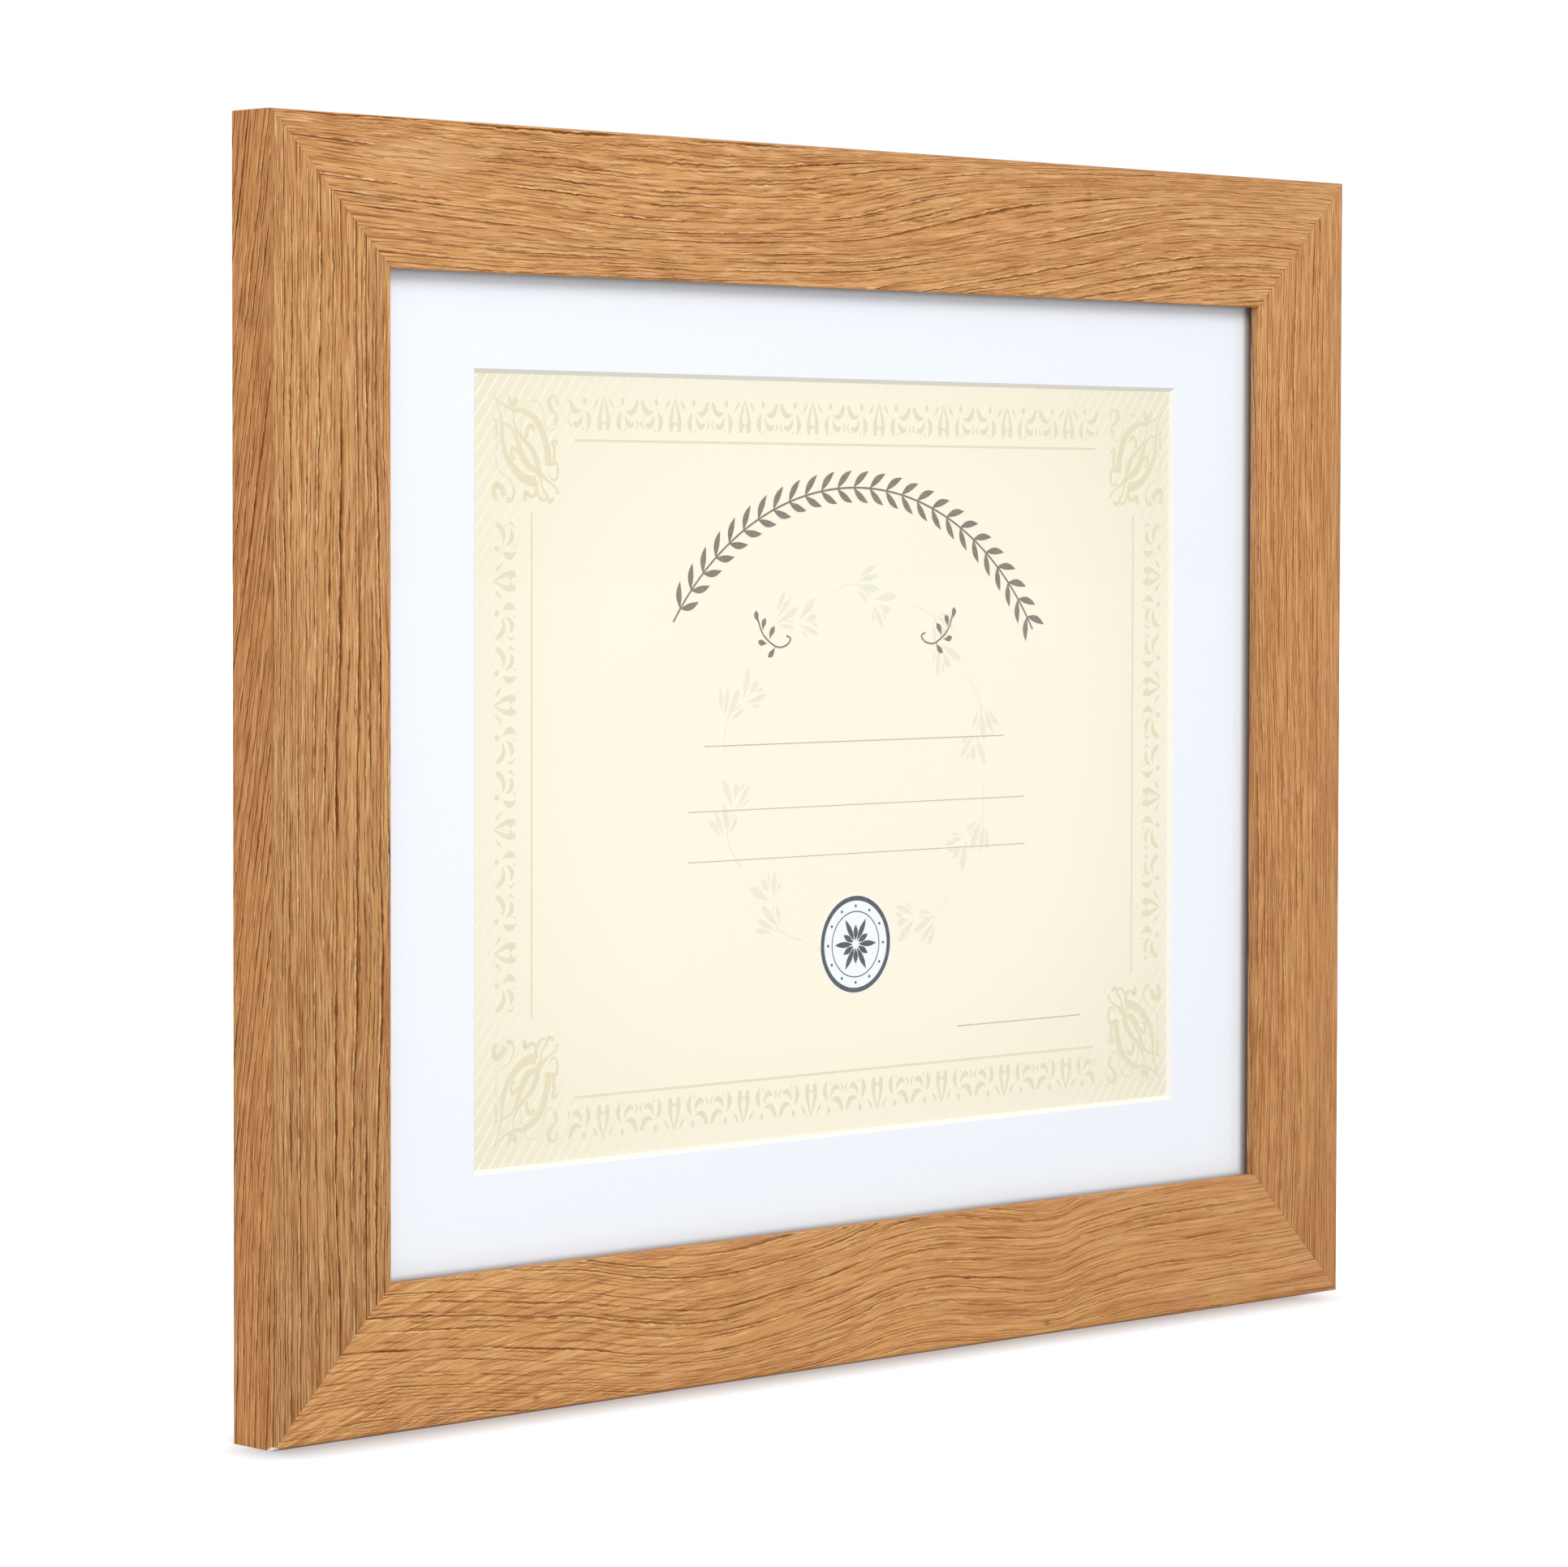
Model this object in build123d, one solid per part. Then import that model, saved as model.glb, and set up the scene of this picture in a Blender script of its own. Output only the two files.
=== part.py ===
from build123d import *
import os

# Certificate frame, landscape: four mitred wrapped rails hold glass, a bevelled mat, the certificate,
# a corrugated pad and a hardboard back, which turn buttons on the back of the rails keep in place.
# Millimetres, +Z up, the front towards -Y. The origin is under the middle of the part, on its bottom edge.

# Sheet sizes that the frame is made for
insert_w = 355.6  # glass, mat, pad and back: 14 in by 11 in
insert_h = 279.4
sheet_w = 279.4  # certificate: 11 in by 8.5 in
sheet_h = 215.9

# Stack behind the lip, front to back
lip_t = 3.0
glass_t = 2.0
mat_t = 1.2
sheet_t = 0.3
pad_t = 7.0
back_t = 3.2

# Moulding
face_w = 39.6  # wide flat face, outer edge to sight edge
lip_cover = 6.35  # how far the lip lies over the glass
rabbet_play = 0.8  # gap all round the glass, mat, pad and back
outer_edge_r = 1.0
sight_edge_r = 0.5
back_edge_r = 0.6

# Mat window, cut with a bevel as wide as the board is thick
mat_cover_side = 2.0  # how far the mat covers the certificate at its sides
mat_cover_top = 1.1  # and at its top and bottom
mat_bevel = mat_t

# V-nails, pressed across each mitre from the back
vnail_leg = 7.0
vnail_hook = 1.4  # turned end of each leg
vnail_t = 0.6
vnail_h = 10.0
vnail_sink = 0.3  # how far the nail is driven below the surface
vnail_place_shares = (0.30, 0.72)  # along the mitre's back edge, from the outer corner

# Turn buttons, each a pressed steel strip held by one screw
button_l = 28.0
button_w = 10.0
button_t = 1.0
button_bite = 14.0  # how far the closed button reaches past the rabbet wall
tip_l = 3.5  # lifted end that rides up onto the back
tip_rise = 0.9
bead_w = 4.6  # stiffening bead, pressed up from below
bead_rise = 0.8
bead_side_angle = 35  # degrees, how far its sides lean in
bead_gap = 2.4  # from the screw hole's edge, and from the lifted end, to the bead's end
long_rail_button_shares = (-0.25, 0.25)  # of the rail's length, from its middle
short_rail_button_shares = (-0.25, 0.25)

# Button screws, pan head with a cross recess
screw_r = 1.5
screw_l = 11.0
screw_point_l = 2.5
screw_head_r = 2.8
screw_head_h = 1.6
screw_crown_r = 1.9  # flat top of the head
cross_l = 3.0
cross_w = 0.7
cross_depth = 1.0
running_gap = 0.08  # radial, between the button's hole and the screw
head_gap = 0.05  # between the button and the screw's head

# Sawtooth hangers, one for each way up
hanger_l = 44.5
hanger_w = 9.5
hanger_t = 0.8
hanger_rise = 2.2  # stand-off of the toothed bridge, for the wall nail's head
hanger_tab = 8.0
hanger_ramp = 2.2
hanger_corner_r = 2.0
tooth_pitch = 2.6
notch_w = 2.2  # leaves the teeth a little flat at their tips
tooth_depth = 1.8
hanger_nail_r = 0.7
hanger_nail_l = 10.0
hanger_nail_head_r = 1.7
hanger_nail_head_t = 0.5
nail_hole_gap = 0.15

overrun = 5.0  # cutting tools reach this far past what they cut

# Sizes that follow from those above
sight_w = insert_w - 2 * lip_cover
sight_h = insert_h - 2 * lip_cover
outer_w = sight_w + 2 * face_w
outer_h = sight_h + 2 * face_w
rabbet_w = lip_cover + rabbet_play
rail_back_w = face_w - rabbet_w
glass_y = lip_t
mat_y = glass_y + glass_t
sheet_y = mat_y + mat_t
pad_y = sheet_y + sheet_t
back_y = pad_y + pad_t
rail_depth = back_y + back_t
button_inset = button_w / 2
button_reach = button_l - button_inset
screw_from_outer = rail_back_w - (button_reach - button_bite)
overall_depth = rail_depth + hanger_rise + hanger_t

# Each rail is drawn as the top one and turned about Y
side_angles = {"top": 0, "right": 90, "bottom": 180, "left": 270}
long_sides = ("top", "bottom")
hanger_sides = {"landscape": "top", "portrait": "left"}
stand_up = Pos(0, -overall_depth / 2, outer_h / 2)


def slab(width, height, near_y, thickness):
    """A sheet cut square, centred on the frame, its front face at near_y."""
    return Pos(0, near_y + thickness / 2, 0) * Box(width, thickness, height)


def rail_length(side):
    """Length of a rail along its outer edge."""
    return outer_w if side in long_sides else outer_h


def side_place(side):
    """Where a rail drawn as the top one, with its outer edge at z = 0, belongs."""
    reach = outer_h / 2 if side in long_sides else outer_w / 2
    return Rot(0, side_angles[side], 0) * Pos(0, 0, reach)


def back_place(side, along, from_outer):
    """A seat on a rail's back: x along the rail, y towards its outer edge, z out of the back."""
    seat = Plane(origin=(-along, rail_depth, -from_outer), x_dir=(-1, 0, 0), z_dir=(0, 1, 0))
    return side_place(side) * seat.location


def moulding_profile():
    """Section of the moulding: flat face, lip over the glass, deep rabbet behind it."""
    corners = [
        (0, 0),
        (0, -face_w),
        (lip_t, -face_w),
        (lip_t, -rail_back_w),
        (rail_depth, -rail_back_w),
        (rail_depth, 0),
    ]
    section = make_face(Polyline(*corners, close=True))
    rounded = [((0, 0), outer_edge_r), ((0, -face_w), sight_edge_r), ((rail_depth, 0), back_edge_r)]
    for corner, radius in rounded:
        section = fillet(section.vertices().sort_by_distance(Vector(*corner))[0], radius)
    return Plane.YZ * section


def mitred_rail(length):
    """A length of moulding with both ends cut at 45 degrees."""
    bar = extrude(moulding_profile(), length / 2, both=True)
    outer = length / 2
    inner = outer - face_w
    plan = make_face(Polyline((-outer, 0), (outer, 0), (inner, -face_w), (-inner, -face_w), close=True))
    return bar & extrude(Plane.XZ * plan, -rail_depth)


def vnail_strip(depth, height):
    """The folded strip of a V-nail, its edge at the vertex, pointing at the top right corner."""
    leg = Pos((vnail_t - vnail_leg) / 2, 0) * Rectangle(vnail_leg + vnail_t, vnail_t)
    hook = Pos(-vnail_leg + vnail_t / 2, vnail_hook / 2) * Rectangle(vnail_t, vnail_hook + vnail_t)
    half = leg + hook
    outline = half + mirror(half, Plane(origin=(0, 0, 0), z_dir=(1, -1, 0)))
    return Plane.XZ.offset(-depth) * extrude(outline, -height)


def vnail_places():
    """Two places on the mitre at each rail's right end, as seen from the front with that rail on top."""
    places = []
    for side in side_angles:
        for share in vnail_place_shares:
            run = share * rail_back_w
            places.append(side_place(side) * Pos(rail_length(side) / 2 - run, 0, -run))
    return places


def turn_button():
    """The strip with its hole on the origin and its lifted tip towards -y, lying on the xy plane."""
    bend = button_reach - tip_l
    side_view = Polyline(
        (button_inset, 0),
        (-bend, 0),
        (-button_reach, tip_rise),
        (-button_reach, tip_rise + button_t),
        (-bend, button_t),
        (button_inset, button_t),
        close=True,
    )
    strip = extrude(Plane.YZ * make_face(side_view), button_w / 2, both=True)
    round_ended = Pos(0, button_inset - button_l / 2) * Rot(0, 0, 90) * SlotOverall(button_l, button_w)
    blank = strip & extrude(round_ended, tip_rise + button_t)

    bead_start = screw_r + bead_gap
    bead_l = bend - bead_gap - bead_start
    bead_middle = -bead_start - bead_l / 2
    ridge = Pos(0, bead_middle, button_t) * pressed_bead(bead_w, bead_l)
    hollow = Pos(0, bead_middle, 0) * pressed_bead(bead_w - button_t, bead_l - button_t)
    hole = Cylinder(screw_r + running_gap, 2 * button_t + overrun)
    return blank + ridge - hollow - hole


def pressed_bead(width, length):
    """A low ridge along y with sloping sides and clipped corners, standing on the xy plane."""
    foot = Rectangle(width, length)
    return extrude(chamfer(foot.vertices(), width / 3), bead_rise, taper=bead_side_angle)


def drilled_hole(radius, depth):
    """A flat-bottomed hole down the z axis, open above the xy plane."""
    return Pos(0, 0, (overrun - depth) / 2) * Cylinder(radius, depth + overrun)


def pan_head_screw():
    """Screw on the z axis, its head above the button, with a cross recess."""
    seat_z = button_t + head_gap
    top_z = seat_z + screw_head_h
    outline = Polyline(
        (screw_crown_r, top_z),
        (0, top_z),
        (0, -screw_l),
        (screw_r, screw_point_l - screw_l),
        (screw_r, seat_z),
        (screw_head_r, seat_z),
        close=True,
    )
    body = revolve(Plane.XZ * make_face(outline), Axis.Z)
    slot = Pos(0, 0, top_z - cross_depth / 2) * Box(cross_l, cross_w, cross_depth)
    return body - slot - Rot(0, 0, 90) * slot


def sawtooth_hanger():
    """Strip with flat nailed ends and a raised bridge whose inner edge is cut into teeth."""
    end = hanger_l / 2
    foot = end - hanger_tab
    top = foot - hanger_ramp
    right_side = [(end, 0), (foot, 0), (top, hanger_rise)]
    under = right_side + [(-x, z) for x, z in reversed(right_side)]
    over = [(x, z + hanger_t) for x, z in reversed(under)]
    strip = extrude(Plane.XZ * make_face(Polyline(*under, *over, close=True)), hanger_w / 2, both=True)
    blank = strip & extrude(RectangleRounded(hanger_l, hanger_w, hanger_corner_r), hanger_rise + hanger_t)

    teeth_each_side = int(top / tooth_pitch - 1 / 2)
    edge = notch_w / 2
    notch_outline = make_face(
        Polyline((-edge, -overrun), (-edge, 0), (0, tooth_depth), (edge, 0), (edge, -overrun), close=True)
    )
    notch = extrude(notch_outline, hanger_rise + hanger_t)
    for tooth in range(-teeth_each_side, teeth_each_side + 1):
        blank -= Pos(tooth * tooth_pitch, -hanger_w / 2, 0) * notch
    for x in hanger_nail_places():
        blank -= Pos(x, 0, 0) * Cylinder(hanger_nail_r + nail_hole_gap, 2 * hanger_t + overrun)
    return blank


def hanger_nail_places():
    """Where the nails stand along the hanger, from its middle."""
    return [side * (hanger_l - hanger_tab) / 2 for side in (-1, 1)]


def hanger_nail():
    """Flat-headed, blunt-ended nail on the z axis, its head on the hanger's end."""
    outline = Polyline(
        (0, hanger_t + hanger_nail_head_t),
        (0, -hanger_nail_l),
        (hanger_nail_r, -hanger_nail_l),
        (hanger_nail_r, hanger_t),
        (hanger_nail_head_r, hanger_t),
        (hanger_nail_head_r, hanger_t + hanger_nail_head_t),
        close=True,
    )
    return revolve(Plane.XZ * make_face(outline), Axis.Z)


def bevelled_mat():
    """Mat board whose window opens towards the front at 45 degrees."""
    window_w = sheet_w - 2 * mat_cover_side
    window_h = sheet_h - 2 * mat_cover_top
    behind = Plane.XZ.offset(-sheet_y) * Rectangle(window_w, window_h)
    before = Plane.XZ.offset(-mat_y) * Rectangle(window_w + 2 * mat_bevel, window_h + 2 * mat_bevel)
    return slab(insert_w, insert_h, mat_y, mat_t) - loft([behind, before])


def button_seats(side):
    """The screw places of one rail's turn buttons."""
    shares = long_rail_button_shares if side in long_sides else short_rail_button_shares
    return [back_place(side, share * rail_length(side), screw_from_outer) for share in shares]


def hanger_seat(side):
    """The middle of a rail's back, where its hanger is nailed."""
    return back_place(side, 0, rail_back_w / 2)


pieces = {}

vnail_foot = rail_depth - vnail_sink - vnail_h
vnails = [place * vnail_strip(vnail_foot, vnail_h) for place in vnail_places()]
vnail_cuts = [place * vnail_strip(vnail_foot, vnail_h + vnail_sink) for place in vnail_places()]
screw_hole = drilled_hole(screw_r, screw_l)
nail_hole = drilled_hole(hanger_nail_r, hanger_nail_l)
nail_spots = [Pos(x, 0, 0) for x in hanger_nail_places()]
nail_seats = {side: [hanger_seat(side) * spot for spot in nail_spots] for side in hanger_sides.values()}

for side in side_angles:
    rail = side_place(side) * mitred_rail(rail_length(side))
    for cut in vnail_cuts:
        rail -= cut
    for seat in button_seats(side):
        rail -= seat * screw_hole
    for seat in nail_seats.get(side, []):
        rail -= seat * nail_hole
    pieces["rail_" + side] = rail
pieces["v_nails"] = Compound(children=vnails)

pieces["glass"] = slab(insert_w, insert_h, glass_y, glass_t)
pieces["mat"] = bevelled_mat()
pieces["certificate"] = slab(sheet_w, sheet_h, sheet_y, sheet_t)
pieces["corrugated_pad"] = slab(insert_w, insert_h, pad_y, pad_t)
pieces["backing_board"] = slab(insert_w, insert_h, back_y, back_t)

button = turn_button()
screw = pan_head_screw()
screws = []
for side in side_angles:
    for number, seat in enumerate(button_seats(side), start=1):
        pieces[f"turn_button_{side}_{number}"] = seat * button
        screws.append(seat * screw)
pieces["button_screws"] = Compound(children=screws)

hanger = sawtooth_hanger()
nail = hanger_nail()
nails = []
for way_up, side in hanger_sides.items():
    pieces["hanger_" + way_up] = hanger_seat(side) * hanger
    nails.extend(seat * nail for seat in nail_seats[side])
pieces["hanger_nails"] = Compound(children=nails)

os.makedirs("parts", exist_ok=True)
for name, shape in pieces.items():
    export_step(stand_up * shape, f"parts/{name}.step")
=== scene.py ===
# The looks of a certificate frame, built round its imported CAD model.
# Lengths are in millimetres in the tables and become metres where a mesh or a place is made. Those of the camera and
# of the studio are in metres.
import math

import bpy
import numpy as np
from mathutils import Matrix, Vector


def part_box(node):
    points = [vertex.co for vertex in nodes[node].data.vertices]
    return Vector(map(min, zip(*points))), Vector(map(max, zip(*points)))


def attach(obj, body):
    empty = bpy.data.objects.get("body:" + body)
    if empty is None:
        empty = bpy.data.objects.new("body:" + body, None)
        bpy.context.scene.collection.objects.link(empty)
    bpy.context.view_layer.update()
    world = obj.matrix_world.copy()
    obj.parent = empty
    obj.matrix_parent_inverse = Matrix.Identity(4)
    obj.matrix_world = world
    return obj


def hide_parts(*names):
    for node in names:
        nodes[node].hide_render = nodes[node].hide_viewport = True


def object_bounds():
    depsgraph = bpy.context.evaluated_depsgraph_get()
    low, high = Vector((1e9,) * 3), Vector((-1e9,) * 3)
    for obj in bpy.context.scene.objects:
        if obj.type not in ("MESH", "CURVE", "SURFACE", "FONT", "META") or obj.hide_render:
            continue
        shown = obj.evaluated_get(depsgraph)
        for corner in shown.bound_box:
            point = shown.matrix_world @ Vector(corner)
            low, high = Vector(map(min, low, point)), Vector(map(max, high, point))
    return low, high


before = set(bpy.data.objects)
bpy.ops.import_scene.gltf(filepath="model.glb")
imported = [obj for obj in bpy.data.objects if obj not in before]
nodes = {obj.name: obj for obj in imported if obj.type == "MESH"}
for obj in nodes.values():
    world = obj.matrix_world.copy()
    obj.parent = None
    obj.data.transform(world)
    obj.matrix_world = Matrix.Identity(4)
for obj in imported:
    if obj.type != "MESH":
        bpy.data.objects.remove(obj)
cad_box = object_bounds()
mm = 0.001

# Camera: it stands to the left of the frame, a little above its middle, and looks across the face from 1.5 m away.
# The long lens is held nearly level and shifted down a little, so the frame's upright edges stay nearly upright.
camera = bpy.data.objects.new("camera", bpy.data.cameras.new("camera"))
camera.data.lens = 120.63
camera.data.shift_y = -0.05
camera_place = (-1.0470, -1.0762, 0.2397)
camera_turn, camera_dip, camera_tilt = -43.665, 1.977, 0.123
camera.matrix_world = (
    Matrix.Translation(camera_place)
    @ Matrix.Rotation(math.radians(camera_turn), 4, "Z")
    @ Matrix.Rotation(math.radians(90 - camera_dip), 4, "X")
    @ Matrix.Rotation(math.radians(camera_tilt), 4, "Z")
)
bpy.context.scene.collection.objects.link(camera)
bpy.context.scene.camera = camera

# Rails: four lengths of flat fibreboard moulding, wrapped in printed and embossed oak foil, then cut at 45 degrees.
# The foil runs round the outer edge and a few millimetres on to the back; the rabbet behind the lip is bare board.
# The print follows each rail's own length, so the rings of two rails meet at a mitre as nested corners.


def colour(code):
    """An sRGB hex value as linear red, green, blue and alpha."""
    parts = np.array([int(code[i : i + 2], 16) for i in (1, 3, 5)]) / 255
    linear = np.where(parts <= 0.04045, parts / 12.92, ((parts + 0.055) / 1.055) ** 2.4)
    return (*linear, 1.0)


def add(tree, kind, *inputs, points=(), **settings):
    """Adds one node. kind is its type, with its operation after a space; inputs are values, sockets or nodes, in order.
    Settings are the node's own or, with underscores for spaces, its inputs; points fill the curve of a FloatCurve."""
    kind, _, operation = kind.partition(" ")
    node = tree.nodes.new("ShaderNode" + kind)
    if operation:
        setattr(node, "blend_type" if kind == "MixRGB" else "operation", operation)
    links = list(enumerate(inputs))
    for name, value in settings.items():
        if hasattr(node, name):
            setattr(node, name, value)
        else:
            links.append((name.replace("_", " "), value))
    for name, value in links:
        if isinstance(value, bpy.types.Node):
            value = value.outputs[0]
        if isinstance(value, bpy.types.NodeSocket):
            tree.links.new(value, node.inputs[name])
        else:
            node.inputs[name].default_value = value
    if kind == "FloatCurve":
        curve = node.mapping.curves[0].points
        for x, y in points[1:-1]:
            curve.new(x, y)
        curve[0].location, curve[-1].location = points[0], points[-1]
        node.mapping.update()
    return node


def material(name, **sockets):
    """A material with one Principled shader, whose sockets are set by name. Returns it, its tree and the shader."""
    made = bpy.data.materials.new(name)
    made.use_nodes = True
    shader = made.node_tree.nodes["Principled BSDF"]
    for socket, value in sockets.items():
        shader.inputs[socket.replace("_", " ")].default_value = value
    return made, made.node_tree, shader


def wire(tree, shader, **sockets):
    """Links nodes to the shader's sockets, which are named with underscores for spaces."""
    for socket, node in sockets.items():
        tree.links.new(node.outputs[0], shader.inputs[socket.replace("_", " ")])


def dress(node, made):
    """Puts a material into every slot of a CAD node."""
    for slot in nodes[node].material_slots:
        slot.material = made


front_y = cad_box[0].y
outer_w = (cad_box[1].x - cad_box[0].x) / mm
outer_h = (cad_box[1].z - cad_box[0].z) / mm
mid_z = outer_h / 2
rail_depth = 16.7
face_w = 39.6
# The rabbet starts this far from the outer edge, behind a lip this thick, and the foil laps this far on to the back.
rabbet_out = 32.3
lip_t = 3.0
foil_lap = 6.0
# The foil's pressed pores and gloss, how near a mitre its rings calm down, and over how much of the width they
# stand closer or further apart.
pore_depth = 0.12 * mm
foil_gloss = 0.33
calm_w = 22
year_w = 4.6
# What the curves below are spread over: the length along a rail, and the range of a sway, both a little over the most.
span = 440
sway_range = 120
# Where the year rings lie across a rail: millimetres from its outer edge, and the count of rings up to there.
ring_curve = [(-100, -38), (0, 0), (5, 2.2), (12, 5), (20, 7.2), (30, 9.6), (40, 13), (62, 20)]
# How far the rings sway along each rail, in millimetres, and the band from the outer edge where a sway sets in.
top_bump = [(-205, 0), (-174, 1.5), (-142, 3.5), (-118, 5), (-85, 7), (-60, 7.5), (-30, 7.2), (0, 6), (40, 3)]
top_fall = [(-31, 0), (0, -1.8), (16, -3.8), (41, -7), (87, -12.5), (118, -17), (134, -19), (151, -20.5)]
bottom_dip = [(-205, 1.5), (-150, 0.5), (-120, 0), (-105, -1.5), (-95, -3), (-82, -6), (-57, -4), (-30, -1)]
bottom_dip += [(-10, -3), (-5, -4.5), (10, -8), (30, -11), (55, -13), (80, -11), (92, -9), (105, -6.5)]
bottom_dip += [(120, -5), (140, -2.5), (160, -1), (180, 0)]
left_in = [(-173, 0), (-120, -2), (-60, -5), (0, -5), (40, -2), (80, 0)]
left_out = [(-173, 0), (-110, 3), (-50, 9), (-10, 9), (20, 7), (60, 2), (100, 0)]
rails = {
    "top": dict(turn=0, half=outer_w / 2, reach=mid_z, slant=0.0, seed=3.1, lean=[(-205, 0), (205, 8)]),
    "right": dict(turn=90, half=mid_z, reach=outer_w / 2, slant=0.0, seed=17.7, lean=[(-173, 0), (173, 12)]),
    "bottom": dict(turn=180, half=outer_w / 2, reach=mid_z, slant=0.32, seed=29.3, lean=[(-205, 0), (205, 8)]),
    "left": dict(turn=270, half=mid_z, reach=outer_w / 2, slant=0.0, seed=41.9, lean=[(-173, 0), (-110, 3)]),
}
rails["left"]["lean"] += [(-60, 11), (0, 23), (60, 36), (120, 48), (173, 58)]
rails["top"]["sways"] = [
    (top_bump + [(90, 0), (205, 0)], -4, 22, 0.9),
    (top_bump + [(90, 0), (205, 0)], 24, 38, -0.8),
    ([(-205, 0)] + top_fall + [(205, -21.5)], -8, 14, 1),
]
rails["right"]["sways"] = [
    ([(-173, -21.5), (173, -21.5)], -8, 14, 1),
    ([(-173, 0), (-60, 1.5), (60, -1.5), (173, 1)], 2, 20, 1),
]
rails["bottom"]["sways"] = [(bottom_dip + [(205, 0)], -25, 12, 1)]
rails["left"]["sways"] = [(left_in + [(173, 0)], 4, 18, 0.5), (left_out + [(173, 0)], 16, 38, 0.5)]
# How strong the grain is at the two ends of each rail, going clockwise, how broken it is, and the foil's tone there,
# which is painted shade.
# The cracks are deep brown, but redder on the right rail.
rails["top"].update(vigour=(1.08, 0.93), gaps=0.06, tones=("#FAFAFA", "#FCFBFA"))
rails["right"].update(vigour=(1.02, 0.82), gaps=0.03, tones=("#FFFBF9", "#E7DCD0"), crack="#8A5224")
rails["bottom"].update(vigour=(0.5, 1.06), gaps=0.04, tones=("#F6F4F2", "#FFFFFE"))
rails["left"].update(vigour=(1.1, 1.1), gaps=0.0, tones=("#DFDEDC", "#FBFBFB"))
# Knots and stains: place along the rail and from its outer edge, half length, half width, and how dark, or how pale
# where it is under 0.
rails["top"]["marks"] = [(95, 8.2, 1.6, 1.3, 0.6), (-176, 21, 9, 2.2, 0.45), (-160, 10, 24, 6, -0.35)]
rails["right"]["marks"] = []
rails["bottom"]["marks"] = [(121, 3.6, 1.7, 1.3, 0.6), (-79, 3.5, 1.5, 1.2, 0.55)]
rails["left"]["marks"] = [(120, 34, 26, 2.5, 0.4)]
# The chip at the bottom left corner: its slope against each rail's end and edge, and the end it is at.
rails["bottom"]["chip"], rails["left"]["chip"] = (1, 2.4, 1), (2.4, 1, -1)


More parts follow.
